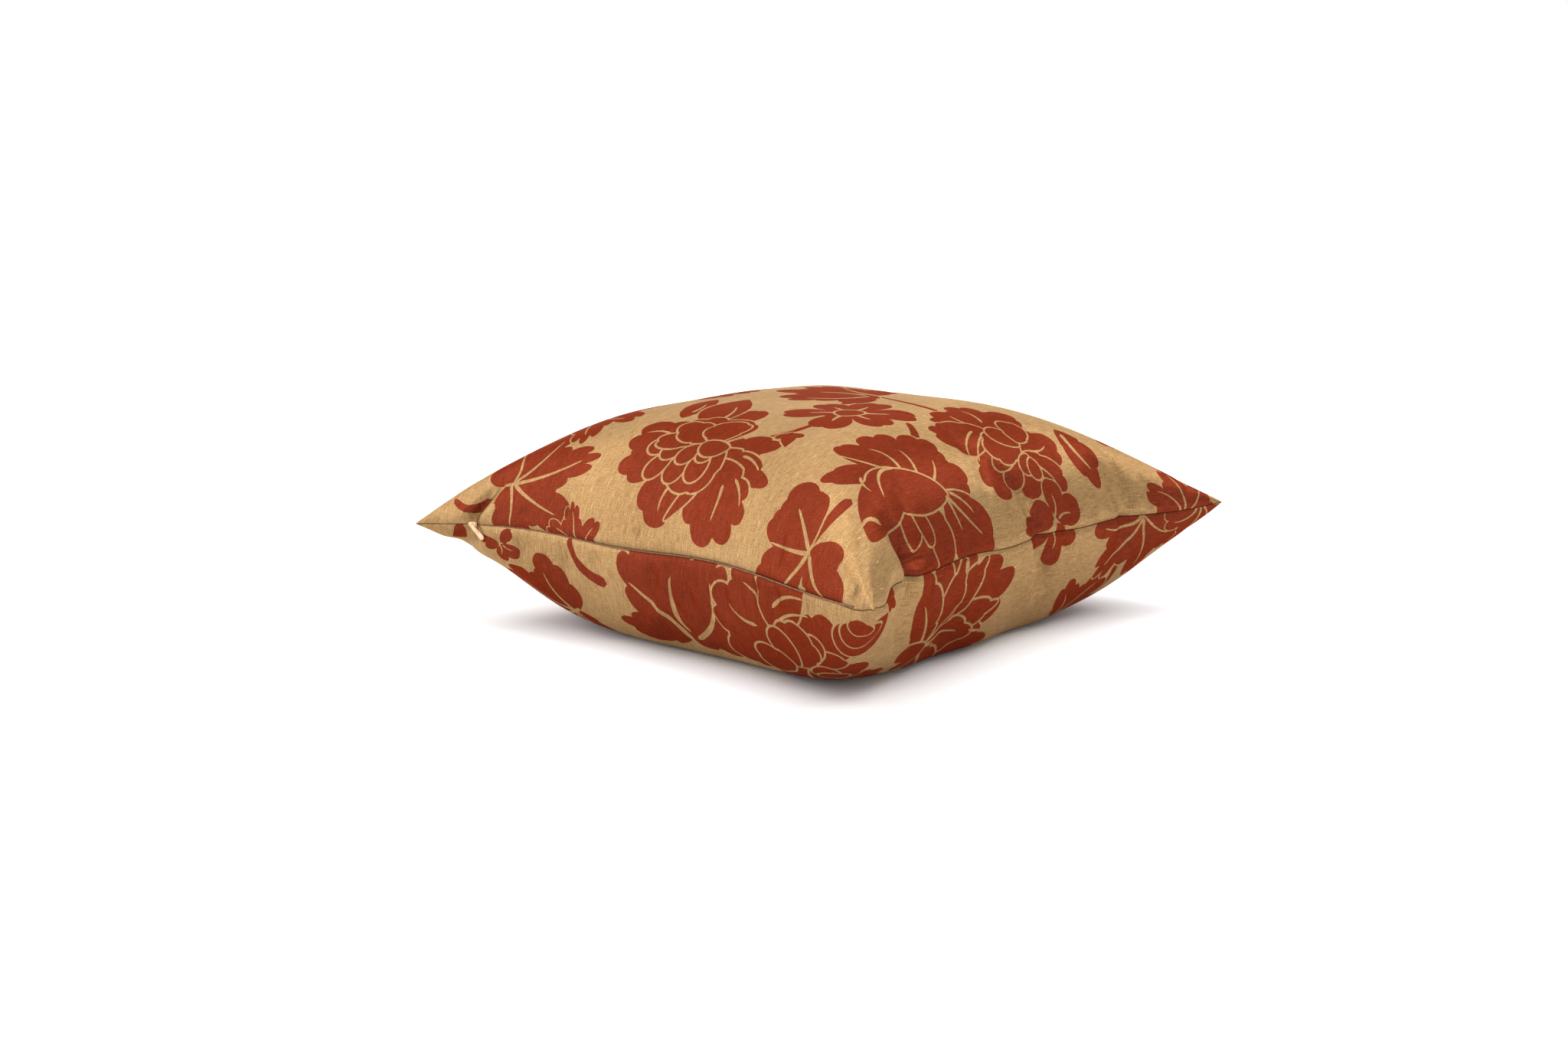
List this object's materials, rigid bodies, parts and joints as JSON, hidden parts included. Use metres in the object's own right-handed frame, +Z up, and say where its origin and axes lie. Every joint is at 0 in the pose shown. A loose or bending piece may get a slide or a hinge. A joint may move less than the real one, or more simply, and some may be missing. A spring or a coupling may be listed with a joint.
{
  "type": "cushion cover",
  "caption": "Plump square cushion cover, filled, with a knife-edge seam, pinched corners, a two-colour floral satin and a concealed side zip, lying on its back.",
  "frame": {"origin": "on the floor under the middle of the cushion, the bottom centre of its bounding box", "axes": "+Z up through the cushion's thickness, with the zip side facing -Y and the sides of the cover along X and Y"},
  "size_m": [0.431, 0.431, 0.165],
  "materials": {
    "floral_satin": "satin weave, gold ground with red flowers and leaves",
    "zip_tape": "matt woven tape",
    "zip_metal": "painted cream, lightly glossy"
  },
  "bodies": {
    "root": {"cushion": "floral_satin", "zip_tape": "zip_tape", "zip_slider": "zip_metal", "zip_pull": "zip_metal"}
  },
  "joints": []
}
